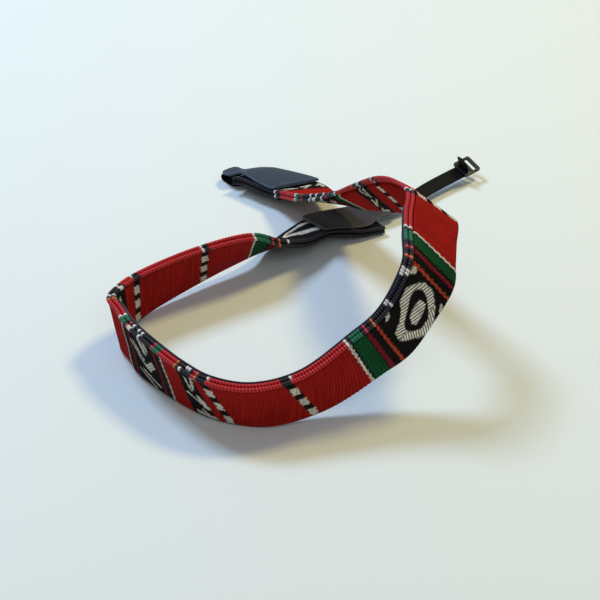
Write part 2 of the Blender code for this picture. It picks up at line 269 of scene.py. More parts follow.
# The large eye: a ring of cream threads round a cream core, centred and scaled in millimetres along the band
EYES = [
    # centre, half length
    (299.0, 16.6),
]
EYE_RING = [
    # along as a share of the half length, across as a share of the band's width
    (-0.99, 0.44), (-1.00, 0.65), (-0.66, 0.84), (-0.18, 1.00), (0.19, 0.99), (0.51, 0.87), (0.99, 0.64),
    (0.96, 0.46), (0.62, 0.40), (0.35, 0.31), (0.14, 0.18), (-0.36, 0.17), (-0.63, 0.27),
]
EYE_HOLE = [
    # along as a share of the half length, across as a share of the band's width
    (-0.77, 0.48), (-0.66, 0.62), (-0.40, 0.75), (-0.17, 0.83), (0.27, 0.82), (0.62, 0.62), (0.55, 0.51),
    (0.22, 0.41), (-0.28, 0.32), (-0.54, 0.34),
]
EYE_CORE = [
    # along as a share of the half length, across as a share of the band's width
    (-0.43, 0.51), (-0.49, 0.65), (-0.16, 0.70), (0.27, 0.70), (0.34, 0.59), (0.19, 0.50), (-0.07, 0.48),
]

# Where the ring's threads are turned across the band: below the first share of the width all along it, and
# below the second only past a share of the half length
EYE_TURN_FOOT = 0.80
EYE_TURN_SIDE = 0.62
EYE_TURN_ALONG = 0.3

EYE_STROKES = [
    # from along, across, to along, across, in millimetres and shares, and the stroke's half thickness
    (-9.5, -0.02, -17.5, 0.20, 1.5),
    (6.2, -0.02, 14.0, 0.17, 1.2),
    (-14.5, 0.92, -11.0, 0.96, 0.8),
]

# The fan at end B: two cream strokes that part towards the tab, in millimetres from the centre along and
# shares of the width across
FANS = (668.0,)
FAN_STROKES = [
    # from along, across, to along, across, half thickness in millimetres
    (-16.0, 0.71, -12.5, 0.79, 1.3),
    (-12.5, 0.79, -0.5, 0.82, 1.6),
    (-0.5, 0.82, 18.0, 0.72, 1.7),
    (-14.5, 0.62, -5.0, 0.48, 2.5),
    (-5.0, 0.48, 8.0, 0.34, 3.0),
    (8.0, 0.34, 18.0, 0.28, 3.0),
]

# The small eyes: strokes and a lozenge, in millimetres from the centre along and shares of the width across
SMALL_EYES = (104.0, 471.0)
SMALL_EYE_LOZENGE = [
    # along, across
    (-6.5, 0.40), (-8.5, 0.50), (-2.5, 0.67), (1.0, 0.57),
]
SMALL_EYE_STROKES = [
    # from along, across, to along, across, half thickness in millimetres
    (3.0, -0.01, -1.5, 0.30, 1.7),
    (-1.5, -0.01, -4.5, 0.22, 1.3),
    (11.0, 0.26, 0.0, 0.60, 0.75),
    (8.5, 0.24, 1.0, 0.48, 0.60),
    (4.5, 0.72, -8.0, 0.86, 0.7),
    (8.0, 0.76, -4.0, 0.96, 0.6),
]

# The zigzags: cream strokes over black, in millimetres from the centre along and shares of the width across
ZIGZAGS = (58.0, 156.5, 433.3, 518.3)
ZIGZAG_STROKES = [
    # from along, across, to along, across, half thickness in millimetres
    (1.3, 0.18, 0.3, 0.42, 0.8),
    (-4.5, 0.06, -1.7, 0.36, 0.9),
    (3.8, 0.52, -2.2, 0.66, 0.7),
    (-2.6, 0.54, -4.4, 0.72, 1.3),
    (2.5, 0.90, -5.2, 0.92, 1.0),
    (-1.8, 0.82, -3.2, 0.87, 0.8),
]

# What the motifs send over the cords: white wraps, and an orange one beside each zigzag
WHITE_WRAPS = [
    # along in millimetres, how many wraps on the front cord, how many on the back cord
    (57.8, 1, 1), (97.5, 1, 1), (102.4, 1, 2), (109.5, 1, 1), (155.8, 1, 2), (177.0, 1, 1), (224.2, 1, 1),
    (286.4, 2, 3), (306.3, 1, 2), (373.0, 0, 1), (418.4, 0, 1), (431.6, 0, 2), (435.4, 1, 0), (471.2, 1, 1),
    (475.0, 0, 1), (479.6, 2, 1), (512.6, 1, 1), (523.2, 1, 2), (536.0, 1, 0), (584.4, 1, 1), (646.5, 1, 0),
]
ORANGE_WRAPS = (148.0, 425.8, 438.4, 510.0)
STITCH_PITCH = 1.7
THIN_STITCH = 0.4
STITCH_SLOPE = 0.5

# How the chart's edges wander: a sum of waves that moves them along, and one wave that moves them across
RAGGED_ALONG = [
    # size in millimetres, turns in radians over the width, turns in radians over a millimetre along
    (0.28, 61.0, 0.9),
    (0.20, 127.0, -1.7),
]
# The same, but its size is a share of the width
RAGGED_ACROSS = (0.006, 17.0, 5.3)


def inside(along, share, outline):
    """True where a point lies inside an outline given as rows of along and share."""
    odd = np.zeros(along.shape, dtype=bool)
    for (a0, s0), (a1, s1) in zip(outline, outline[1:] + outline[:1]):
        crosses = (s0 > share) != (s1 > share)
        with np.errstate(divide="ignore", invalid="ignore"):
            meets = a0 + (share - s0) / (s1 - s0) * (a1 - a0)
        odd ^= crosses & (along < meets)
    return odd


def near_stroke(along, aside, start, end, half):
    """True within half of the straight line from start to end, all in millimetres."""
    start, end = np.array(start), np.array(end)
    line = end - start
    offset_along, offset_aside = along - start[0], aside - start[1]
    share = np.clip((offset_along * line[0] + offset_aside * line[1]) / line.dot(line), 0.0, 1.0)
    return np.hypot(offset_along - share * line[0], offset_aside - share * line[1]) < half


def stripe_yarn(along, yarns):
    starts = np.array([start for start, _ in STRIPES])
    table = np.array([yarns[yarn] for _, yarn in STRIPES])
    return table[np.searchsorted(starts, along, side="right") - 1]


def chart_place(along, share):
    """Where a point of the band lies along the chart, whose stripes are square to it, in millimetres."""
    places, leads = np.array(WEFT_LEAD).T
    return along + np.interp(along, places, leads) * share


def cream_motifs(along, share):
    """How much of a cream float a point is, and whether its threads are turned across the band."""
    wide = BAND_WIDTH * 1000
    aside = share * wide
    cream = np.zeros(along.shape)
    turned = np.zeros(along.shape, dtype=bool)
    for centre, half in EYES:
        here = (along - centre) / half
        ring = inside(here, share, EYE_RING) & ~inside(here, share, EYE_HOLE)
        cream[ring | inside(here, share, EYE_CORE)] = 1.0
        turned |= ring & (share > EYE_TURN_FOOT)
        turned |= ring & (here > EYE_TURN_ALONG) & (share > EYE_TURN_SIDE)
    for centre in SMALL_EYES:
        cream[inside(along - centre, share, SMALL_EYE_LOZENGE)] = 1.0
    strokes = [(centre, row) for centre, _ in EYES for row in EYE_STROKES]
    strokes += [(centre, row) for centre in FANS for row in FAN_STROKES]
    strokes += [(centre, row) for centre in SMALL_EYES for row in SMALL_EYE_STROKES]
    strokes += [(centre, row) for centre in ZIGZAGS for row in ZIGZAG_STROKES]
    for centre, (a0, s0, a1, s1, thick) in strokes:
        stroke = near_stroke(along, aside, (centre + a0, s0 * wide), (centre + a1, s1 * wide), thick)
        cream[stroke] = np.maximum(cream[stroke], THIN_STITCH)
    for centre in DASHED_BANDS:
        for place in DASH_PLACES:
            lean = (share - place) * DASH_LEAN
            block = np.abs(share - place) < DASH_HALF_WIDTH
            block &= np.abs(along - centre - lean) < DASH_HALF_LENGTH
            cream[block] = THIN_STITCH
    return cream, turned


def ragged(along, share):
    """The chart's edges wander by part of a millimetre, as where a weft turns back between two ribs."""
    wander = sum(size * np.sin(share * wide + along * long) for size, wide, long in RAGGED_ALONG)
    size, wide, long = RAGGED_ACROSS
    return along + wander, share + size * np.sin(along * long + share * wide)


def face_pattern(along, share):
    """The yarn's colour at each point, and the two masks of the cream floats."""
    along, share = ragged(chart_place(along, share), share)
    cream, turned = cream_motifs(along, share)
    return np.where(cream[:, None] > 0, FACE_YARN["cream"], stripe_yarn(along, FACE_YARN)), cream, turned


def colour_points(mesh, colour):
    layer = mesh.color_attributes.new("yarn", "FLOAT_COLOR", "POINT")
    layer.data.foreach_set("color", np.hstack([colour, np.ones((len(colour), 1))]).astype(np.float32).ravel())


def point_values(mesh, name, values):
    layer = mesh.attributes.new(name, "FLOAT", "POINT")
    layer.data.foreach_set("value", np.asarray(values, dtype=np.float32))


def grid_mesh(name, long, wide):
    """A grid of long by wide faces, with each point's share of the way along and across it."""
    bm = bmesh.new()
    bmesh.ops.create_grid(bm, x_segments=long, y_segments=wide, size=0.5)
    mesh = bpy.data.meshes.new(name)
    bm.to_mesh(mesh)
    bm.free()
    flat = np.empty(len(mesh.vertices) * 3, dtype=np.float32)
    mesh.vertices.foreach_get("co", flat)
    flat = flat.reshape(-1, 3).astype(float)
    return mesh, np.round((flat[:, 0] + 0.5) * long) / long, np.round((flat[:, 1] + 0.5) * wide) / wide


def set_places(mesh, places):
    mesh.vertices.foreach_set("co", places.astype(np.float32).ravel())
    mesh.update()


def close_up(mesh):
    """Joins a sheet's meeting edges, fills its two ends and turns its faces outwards."""
    bm = bmesh.new()
    bm.from_mesh(mesh)
    bmesh.ops.remove_doubles(bm, verts=bm.verts, dist=MERGE_DISTANCE)
    bmesh.ops.holes_fill(bm, edges=[edge for edge in bm.edges if edge.is_boundary], sides=0)
    bmesh.ops.recalc_face_normals(bm, faces=bm.faces)
    for face in bm.faces:
        face.smooth = len(face.verts) <= 4
    bm.to_mesh(mesh)
    bm.free()


def place_piece(name, mesh, material):
    piece = bpy.data.objects.new(name, mesh)
    bpy.context.scene.collection.objects.link(piece)
    mesh.materials.append(material)
    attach(piece, "root")
    return piece


def node(tree, kind, **values):
    made = tree.nodes.new(kind)
    for key, value in values.items():
        setattr(made, key, value)
    return made


def math_node(tree, operation, first, second=None):
    """A calculation on one or two values, each of them a number or another node's output."""
    made = node(tree, "ShaderNodeMath", operation=operation)
    for socket, value in zip(made.inputs, (first, second)):
        if value is None:
            continue
        if isinstance(value, (int, float)):
            socket.default_value = value
        else:
            tree.links.new(value, socket)
    return made.outputs[0]


def attribute(tree, name, output="Fac"):
    return node(tree, "ShaderNodeAttribute", attribute_name=name).outputs[output]


def noise(tree, vector, scale, detail=2.0, roughness=0.5):
    made = node(tree, "ShaderNodeTexNoise")
    made.inputs["Scale"].default_value = scale
    made.inputs["Detail"].default_value = detail
    made.inputs["Roughness"].default_value = roughness
    tree.links.new(vector, made.inputs["Vector"])
    return made.outputs["Fac"]


def remap(tree, value, low, high):
    """A value from 0 to 1 spread from low to high."""
    made = node(tree, "ShaderNodeMapRange")
    made.inputs["To Min"].default_value = low
    made.inputs["To Max"].default_value = high
    tree.links.new(value, made.inputs["Value"])
    return made.outputs["Result"]


def shade_by(tree, colour, amount):
    made = node(tree, "ShaderNodeVectorMath", operation="SCALE")
    tree.links.new(colour, made.inputs[0])
    tree.links.new(amount, made.inputs["Scale"])
    return made.outputs[0]


def ripple(tree, value, rate):
    """A cosine wave of the value, from 0 to 1."""
    wave = math_node(tree, "COSINE", math_node(tree, "MULTIPLY", value, rate))
    return math_node(tree, "ADD", math_node(tree, "MULTIPLY", wave, 0.5), 0.5)


def surface_place(tree):
    """A texture vector that follows the cloth: metres along it and metres across it."""
    made = node(tree, "ShaderNodeCombineXYZ")
    tree.links.new(attribute(tree, "along"), made.inputs["X"])
    tree.links.new(attribute(tree, "aside"), made.inputs["Y"])
    return made.outputs[0]


def stretched(tree, vector, scale):
    made = node(tree, "ShaderNodeMapping")
    made.inputs["Scale"].default_value = scale
    tree.links.new(vector, made.inputs["Vector"])
    return made.outputs["Vector"]


def bump(tree, height, distance, strength=1.0, below=None):
    made = node(tree, "ShaderNodeBump")
    made.inputs["Distance"].default_value = distance
    made.inputs["Strength"].default_value = strength
    tree.links.new(height, made.inputs["Height"])
    if below is not None:
        tree.links.new(below, made.inputs["Normal"])
    return made.outputs["Normal"]


def blank_material(name):
    made = bpy.data.materials.new(name)
    made.use_nodes = True
    return made, made.node_tree, made.node_tree.nodes["Principled BSDF"]


def woven_wool():
    """Wool weft packed over cotton ribs, with threads that run over them and painted shade between the ribs.
    """
    made, tree, shader = blank_material("woven_wool")
    cloth = surface_place(tree)
    rib = ripple(tree, attribute(tree, "rib"), 2 * math.pi / RIB_PITCH)
    threads = noise(tree, stretched(tree, cloth, (420.0, 3200.0, 1.0)), 1.0, 3.0, 0.6)
    uneven = noise(tree, stretched(tree, cloth, (620.0, 40.0, 1.0)), 1.0, 2.0)
    heather = noise(tree, cloth, 190.0, 4.0, 0.6)
    floats = attribute(tree, "float")
    packed = math_node(tree, "MAXIMUM", rib, floats)
    # Painted shade: the colour darkens between the ribs, though not on the cream floats.
    light = math_node(tree, "MULTIPLY", remap(tree, packed, 0.60, 1.05), remap(tree, uneven, 0.45, 1.45))
    light = math_node(tree, "MULTIPLY", light, remap(tree, threads, 0.72, 1.26))
    light = math_node(tree, "MULTIPLY", light, remap(tree, heather, 0.80, 1.18))
    stitch = ripple(tree, attribute(tree, "stitch"), 1.0)
    # Painted highlight and shade on the cream floats: lighter on each stitch's crown, darker between two
    # stitches.
    stitch_shading = math_node(tree, "MULTIPLY", floats, math_node(tree, "SUBTRACT", 0.85, math_node(
        tree, "MULTIPLY", stitch, 1.40)))
    light = math_node(tree, "MULTIPLY", light, math_node(tree, "SUBTRACT", 1.0, stitch_shading))
    yarn = shade_by(tree, attribute(tree, "yarn", "Color"), light)
    tree.links.new(yarn, shader.inputs["Base Color"])
    tree.links.new(yarn, shader.inputs["Sheen Tint"])
    rough = bump(tree, threads, 0.00025, 0.7)
    ribbed = bump(tree, packed, 0.00022, 0.8, rough)
    threads_up = math_node(tree, "MULTIPLY", floats, stitch)
    tree.links.new(bump(tree, threads_up, 0.0005, 0.9, ribbed), shader.inputs["Normal"])
    shader.inputs["Roughness"].default_value = 0.82
    shader.inputs["Sheen Weight"].default_value = 0.25
    shader.inputs["Sheen Roughness"].default_value = 0.45
    shader.inputs["Specular IOR Level"].default_value = 0.10
    return made


def rib_shear(along):
    """How far the ribs lean at a place along the band, as along for across."""
    places, leans = np.array(RIB_LEANS).T
    return np.interp(along, places, leans)


def band_layer(name, side, material):
    """One layer of the folded cloth, from the cords to the fold. Side is 1 for the front, -1 for the back."""
    long = round((BAND_END - BAND_START) / RIB_PITCH) * ROWS_PER_RIB
    mesh, share_along, share_round = grid_mesh(name, long, LAYER_COLUMNS + 1)
    along = BAND_START + share_along * (BAND_END - BAND_START)
    room = CORD_DIAMETER + GAP
    near = -BAND_WIDTH / 2 + room * (1 + np.sin(strap.roll_at(along)))
    high, far = PANEL_THICKNESS / 2, BAND_WIDTH / 2
    top_arc, foot_arc = math.pi / 2 * (TOP_ROUND + high) / 2, math.pi / 2 * high
    flat = far - near - TOP_ROUND - high
    column = np.round(share_round * (LAYER_COLUMNS + 1)) % (LAYER_COLUMNS + 1)
    walked = column / LAYER_COLUMNS * (top_arc + flat + foot_arc)
    top_turn = np.clip(walked / top_arc, 0.0, 1.0) * math.pi / 2
    foot_turn = np.clip((walked - top_arc - flat) / foot_arc, 0.0, 1.0) * math.pi / 2
    run = np.clip(walked - top_arc, 0.0, flat)
    out_aside = -np.cos(top_turn) + np.sin(foot_turn)
    out_level = np.sin(top_turn) * np.cos(foot_turn)
    aside = near + TOP_ROUND * (1 - np.cos(top_turn)) + run + high * np.sin(foot_turn)
    level = high * np.sin(top_turn) * np.cos(foot_turn)
    share = (aside + BAND_WIDTH / 2) / BAND_WIDTH
    pucker = PUCKER * np.sin(2 * math.pi * along / PUCKER_LENGTH)
    pucker *= np.sin(2 * math.pi * aside / PUCKER_WIDTH + PUCKER_PHASE)
    rib = along - rib_shear(along) * (aside + BAND_WIDTH / 2)
    proud = RIB_HEIGHT * np.cos(2 * math.pi * rib / RIB_PITCH) + pucker
    aside += proud * out_aside
    level = side * np.maximum(level + proud * out_level, LAYER_SPLIT)
    set_places(mesh, strap.place(along, aside, level))
    colour, cream, turned = face_pattern(along * 1000, share)
    colour_points(mesh, colour)
    point_values(mesh, "along", rib)
    point_values(mesh, "aside", aside + side * BAND_WIDTH)
    point_values(mesh, "rib", rib)
    point_values(mesh, "float", cream)
    phase = np.where(turned, along - STITCH_SLOPE * aside, aside + STITCH_SLOPE * along)
    point_values(mesh, "stitch", 2 * math.pi * phase * 1000 / STITCH_PITCH)
    close_up(mesh)
    piece = place_piece(name, mesh, material)
    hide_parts("woven_band")


wool = woven_wool()
band_layer("woven_band_front", 1, wool)
band_layer("woven_band_back", -1, wool)


# The selvedge cords
# Two cords of wool, wrapped over and over in brighter yarn, one sewn to the top edge of each layer of the
# band. Their wraps stand up like beads and follow the stripes of the chart.

WRAP_PITCH = 0.00175
WRAP_DEPTH = 0.00016
WRAP_ROWS = 5
CORD_SIDES = 14
CORD_SWELL = 1.04
# The painted highlight on the crown of each wrap: its colour, how closely it keeps to the crown, and its
# strength.
CORD_HIGHLIGHT_COLOUR = (0.80, 0.55, 0.52, 1.0)
HIGHLIGHT_SHARPNESS = 8.0
HIGHLIGHT_AMOUNT = 0.06


def cord_place(along, side):
    """Where a cord lies, aside and level. As the pair rolls, the front cord sinks below the back one."""
    pitch = CORD_DIAMETER + GAP
    roll = strap.roll_at(along)
    aside = -BAND_WIDTH / 2 + CORD_DIAMETER / 2 + pitch / 2 * (1 + side) * np.sin(roll)
    level = side * pitch / 2 * np.cos(roll)
    return aside, level


def cord_colour(along, side):
    """The stripes carry on over the cords in whole wraps, and the motifs reach them as a few more."""
    pitch = WRAP_PITCH * 1000
    wrap = np.round(along / pitch) * pitch
    colour = stripe_yarn(wrap, CORD_YARN)
    for place, front, back in WHITE_WRAPS:
        wraps = front if side > 0 else back
        colour[np.abs(wrap - place) < wraps * pitch / 2] = CORD_YARN["cream"]
    for place in ORANGE_WRAPS:
        colour[np.abs(wrap - place) < pitch / 2] = CORD_YARN["orange"]
    return colour


def wrapped_wool():
    """Yarn wound round a core, in fine strands: painted light on each wrap's crown, painted shade between
    two.
    """
    made, tree, shader = blank_material("wrapped_wool")
    cloth = surface_place(tree)
    wrap = ripple(tree, attribute(tree, "along"), 2 * math.pi / WRAP_PITCH)
    strands = noise(tree, stretched(tree, cloth, (3600.0, 500.0, 1.0)), 1.0, 3.0, 0.6)
    heather = noise(tree, cloth, 420.0, 3.0, 0.6)
    # Painted highlight and shade: each wrap is lighter on its crown and darker between two.
    light = math_node(tree, "MULTIPLY", remap(tree, wrap, 0.50, 1.14), remap(tree, strands, 0.74, 1.28))
    light = math_node(tree, "MULTIPLY", light, remap(tree, heather, 0.82, 1.18))
    # A painted pinkish highlight on the crown of each wrap.
    crown_highlight = node(tree, "ShaderNodeMix", data_type="RGBA")
    crown_highlight.inputs["B"].default_value = CORD_HIGHLIGHT_COLOUR
    crown = math_node(tree, "POWER", wrap, HIGHLIGHT_SHARPNESS)
    tree.links.new(math_node(tree, "MULTIPLY", crown, HIGHLIGHT_AMOUNT), crown_highlight.inputs["Factor"])
    tree.links.new(attribute(tree, "yarn", "Color"), crown_highlight.inputs["A"])
    yarn = shade_by(tree, crown_highlight.outputs["Result"], light)
    tree.links.new(yarn, shader.inputs["Base Color"])
    tree.links.new(yarn, shader.inputs["Sheen Tint"])
    rough = bump(tree, strands, 0.0002, 0.7)
    tree.links.new(bump(tree, wrap, 0.0002, 0.6, rough), shader.inputs["Normal"])
    shader.inputs["Roughness"].default_value = 0.50
    shader.inputs["Sheen Weight"].default_value = 0.05
    shader.inputs["Sheen Roughness"].default_value = 0.35
    shader.inputs["Specular IOR Level"].default_value = 0.25
    return made


def selvedge_cord(name, solid, side, material):
    long = round((BAND_END - BAND_START) / WRAP_PITCH) * WRAP_ROWS
    mesh, share_along, share_round = grid_mesh(name, long, CORD_SIDES)
    along = BAND_START + share_along * (BAND_END - BAND_START)
    aside, level = cord_place(along, side)
    turn = share_round * 2 * math.pi
    bead = np.abs(np.cos(math.pi * along / WRAP_PITCH))
    radius = CORD_DIAMETER / 2 * CORD_SWELL - WRAP_DEPTH * (1 - bead)
    set_places(mesh, strap.place(along, aside + radius * np.cos(turn), level + radius * np.sin(turn)))
    colour_points(mesh, cord_colour(along * 1000, side))
    point_values(mesh, "along", along)
    point_values(mesh, "aside", share_round * math.pi * CORD_DIAMETER)
    close_up(mesh)
    piece = place_piece(name, mesh, material)
    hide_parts(solid)


cord_wool = wrapped_wool()
selvedge_cord("wrapped_cord_front", "selvedge_cord_front", 1, cord_wool)
selvedge_cord("wrapped_cord_back", "selvedge_cord_back", -1, cord_wool)


# The lining
# A thin plain cloth, dyed navy, laid on the reverse of the front stretch and sewn down.
# From the front only its upper edge shows.

LINING_START = 0.238
LINING_END = 0.506
LINING_THICKNESS = 0.0010
LINING_ROWS = 560
LINING_COLUMNS = 22
LINING_COLOUR = (0.022, 0.028, 0.060, 1.0)
SIDE_ROUNDING = 0.45
FACE_ROUNDING = 0.25

# How high over the middle a piece lies that rests on a cord: half the gap between the cords, a cord and a gap
OVER_CORDS = 1.5 * GAP + CORD_DIAMETER


def squared(wave, rounding):
    """A sine or cosine drawn out towards 1 and -1, which turns a circle into a box with round corners."""
    return np.sign(wave) * np.abs(wave) ** rounding


def closed_strip(name, rows, columns, start, end, sides_at, level, thickness, crown=0.0):
    """A flat strip along the strap, wall and all, with its edges rounded over and its middle crowned."""
    mesh, share_along, share_round = grid_mesh(name, rows, 2 * columns)
    along = start + share_along * (end - start)
    near, far = sides_at(along)
    turn = share_round * 2 * math.pi
    half = (far - near) / 2
    flattened = squared(np.cos(turn), SIDE_ROUNDING)
    lift = squared(np.sin(turn), FACE_ROUNDING)
    aside = (near + far) / 2 - half * flattened
    rise = thickness / 2 * lift + crown * np.maximum(lift, 0.0) * (1 - flattened ** 2)
    set_places(mesh, strap.place(along, aside, level + rise))
    point_values(mesh, "along", along)
    point_values(mesh, "aside", aside)
    return mesh


def plain_cloth():
    made, tree, shader = blank_material("navy_cloth")
    cloth = surface_place(tree)
    warp = node(tree, "ShaderNodeTexWave", bands_direction="X")
    weft = node(tree, "ShaderNodeTexWave", bands_direction="Y")
    for wave in (warp, weft):
        wave.inputs["Scale"].default_value = 550.0
        wave.inputs["Distortion"].default_value = 0.6
        tree.links.new(cloth, wave.inputs["Vector"])
    weave = math_node(tree, "MULTIPLY", warp.outputs["Fac"], weft.outputs["Fac"])
    fade = noise(tree, cloth, 60.0, 3.0)
    light = math_node(tree, "MULTIPLY", remap(tree, weave, 0.8, 1.25), remap(tree, fade, 0.75, 1.3))
    base = node(tree, "ShaderNodeRGB")
    base.outputs[0].default_value = LINING_COLOUR
    tree.links.new(shade_by(tree, base.outputs[0], light), shader.inputs["Base Color"])
    tree.links.new(bump(tree, weave, 0.0002, 0.5), shader.inputs["Normal"])
    shader.inputs["Roughness"].default_value = 0.85
    shader.inputs["Sheen Weight"].default_value = 0.2
    return made


lining_level = -(OVER_CORDS + LINING_THICKNESS / 2)
lining_half = BAND_WIDTH / 2 - GAP


def lining_sides(along):
    return np.full(along.shape, -lining_half), np.full(along.shape, lining_half)


lining_mesh = closed_strip("navy_lining", LINING_ROWS, LINING_COLUMNS, LINING_START, LINING_END,
                           lining_sides, lining_level, LINING_THICKNESS)
close_up(lining_mesh)
lining = place_piece("navy_lining", lining_mesh, plain_cloth())
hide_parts("lining")


# The leather tabs
# A tapered tab of smooth calf leather on each end of the band, skived, edge-painted and glued down over the
# front cord. Its neck holds the webbing.

TAB_LENGTH = 0.056
TAB_REACH = 0.0165
LEATHER_THICKNESS = 0.0015
LEATHER_CROWN = 0.00035
EDGE_HIGHLIGHT_WIDTH = 0.0011
SLATE_BLUE = linear(46, 60, 78)
SLATE_GREY = linear(48, 46, 50)
TAB_ROWS = 150
TAB_COLUMNS = 30
TAB_OUTLINE = [
    # share of the tab's length, share of its width
    (0.00, 0.34),
    (0.03, 0.42),
    (0.14, 0.45),
    (0.28, 0.43),
    (0.33, 0.58),
    (0.42, 0.80),
    (0.60, 0.92),
    (0.80, 0.98),
    (0.96, 1.00),
    (1.00, 0.95),
]


def calf_leather(name, colour):
    """Smooth dyed leather: a fine pebbled grain, a few soft creases, and a painted highlight along the edges.
    """
    made, tree, shader = blank_material(name)
    cloth = surface_place(tree)
    grain = node(tree, "ShaderNodeTexVoronoi", feature="SMOOTH_F1")
    grain.inputs["Scale"].default_value = 1900.0
    tree.links.new(cloth, grain.inputs["Vector"])
    cloud = noise(tree, cloth, 75.0, 4.0, 0.55)
    crease = noise(tree, stretched(tree, cloth, (90.0, 700.0, 1.0)), 1.0, 2.0)
    light = math_node(tree, "MULTIPLY", remap(tree, cloud, 0.78, 1.22), remap(tree, crease, 0.92, 1.08))
    # A painted highlight along the tab's edges.
    light = math_node(tree, "ADD", light, math_node(tree, "MULTIPLY", attribute(tree, "edge"), 0.9))
    base = node(tree, "ShaderNodeRGB")
    base.outputs[0].default_value = (*colour, 1.0)
    tree.links.new(shade_by(tree, base.outputs[0], light), shader.inputs["Base Color"])
    fine = bump(tree, grain.outputs["Distance"], 0.00012, 0.5)
    tree.links.new(bump(tree, crease, 0.0003, 0.35, fine), shader.inputs["Normal"])
    tree.links.new(remap(tree, cloud, 0.42, 0.60), shader.inputs["Roughness"])
    shader.inputs["Specular IOR Level"].default_value = 0.42
    return made


def leather_tab(name, solid, tip, way, colour):
    shares, widths = np.array(TAB_OUTLINE).T

    def sides_at(along):
        width = np.interp(np.abs(along - tip) / TAB_LENGTH, shares, widths)
        return -width * TAB_REACH, width * TAB_REACH

    level = OVER_CORDS + LEATHER_THICKNESS / 2
    start, end = sorted((tip, tip + way * TAB_LENGTH))
    mesh = closed_strip(name, TAB_ROWS, TAB_COLUMNS, start, end, sides_at,
                        level, LEATHER_THICKNESS, LEATHER_CROWN)
    along = np.empty(len(mesh.vertices), dtype=np.float32)
    aside = np.empty(len(mesh.vertices), dtype=np.float32)
    mesh.attributes["along"].data.foreach_get("value", along)
    mesh.attributes["aside"].data.foreach_get("value", aside)
    near, far = sides_at(along)
    # The painted highlight is brightest at the rim and fades out a little way in.
    inset = np.minimum(np.minimum(aside - near, far - aside), np.abs(tip + way * TAB_LENGTH - along))
    point_values(mesh, "edge", np.clip(1.0 - inset / EDGE_HIGHLIGHT_WIDTH, 0.0, 1.0))
    close_up(mesh)
    piece = place_piece(name, mesh, calf_leather(name, colour))
    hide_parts(solid)


leather_tab("calf_tab_a", "leather_tab_a", 0.0, 1, SLATE_BLUE)
leather_tab("calf_tab_b", "leather_tab_b", strap.length - WEBBING_B_LENGTH, -1, SLATE_GREY)


# The webbing
# Black polyamide webbing, 10 mm wide, sewn under each leather neck. End B's trails off to its slider, and end
# A's is folded back under the tab. Each tail turns up through the slider and is cut to a blunt point.

WEBBING_WIDTH = 0.010
WEBBING_THICKNESS = 0.0011
WEBBING_TUCK = 0.012
WEBBING_A_RUN = 0.036
WEBBING_STEP = 0.0050
FOLD_START = 0.25
TAIL_BEND = 0.0020
TAIL_LEAN = math.radians(115)
TAIL_STEPS = (0.4, 0.8, 1.0)
TAIL_TIP = 0.25
TAIL_A = 0.0015
TAIL_B = 0.0090
BEND_CUTS = 8
BAND_STEP = 0.0055
WEBBING_ROW = 0.0004
WEBBING_COLUMNS = 20
WEBBING_ROUNDING = 0.3
WEBBING_COLOUR = (0.0050, 0.0046, 0.0042, 1.0)


def evenly(start, end, step):
    return np.linspace(start, end, max(2, math.ceil(abs(end - start) / step) + 1))


def polyamide_webbing():
    """A flat tubular weave: herringbone ribs along the webbing, crossed by fine picks."""
    made, tree, shader = blank_material("black_webbing")
    cloth = surface_place(tree)
    ribs = node(tree, "ShaderNodeTexWave", bands_direction="Y")
    ribs.inputs["Scale"].default_value = 230.0
    picks = node(tree, "ShaderNodeTexWave", bands_direction="DIAGONAL")
    picks.inputs["Scale"].default_value = 420.0
    for wave in (ribs, picks):
        wave.inputs["Distortion"].default_value = 0.4
        tree.links.new(cloth, wave.inputs["Vector"])
    weave = math_node(tree, "MULTIPLY", ribs.outputs["Fac"], remap(tree, picks.outputs["Fac"], 0.4, 1.0))
    wear = noise(tree, cloth, 140.0, 3.0)
    light = math_node(tree, "MULTIPLY", remap(tree, weave, 0.55, 1.5), remap(tree, wear, 0.75, 1.3))
    base = node(tree, "ShaderNodeRGB")
    base.outputs[0].default_value = WEBBING_COLOUR
    tree.links.new(shade_by(tree, base.outputs[0], light), shader.inputs["Base Color"])
    tree.links.new(bump(tree, weave, 0.0002, 0.6), shader.inputs["Normal"])
    shader.inputs["Roughness"].default_value = 0.70
    shader.inputs["Specular IOR Level"].default_value = 0.15
    return made


def tail(origin, ahead, up, straight):
    """The centre points of a webbing's end, which turns up through the slider's first slot and leans back."""
    turn = [origin + ahead * TAIL_BEND * math.sin(a) + up * TAIL_BEND * (1 - math.cos(a))
            for a in np.linspace(0.0, TAIL_LEAN, BEND_CUTS)]
    heading = ahead * math.cos(TAIL_LEAN) + up * math.sin(TAIL_LEAN)
    return turn + [turn[-1] + heading * straight * share for share in TAIL_STEPS]


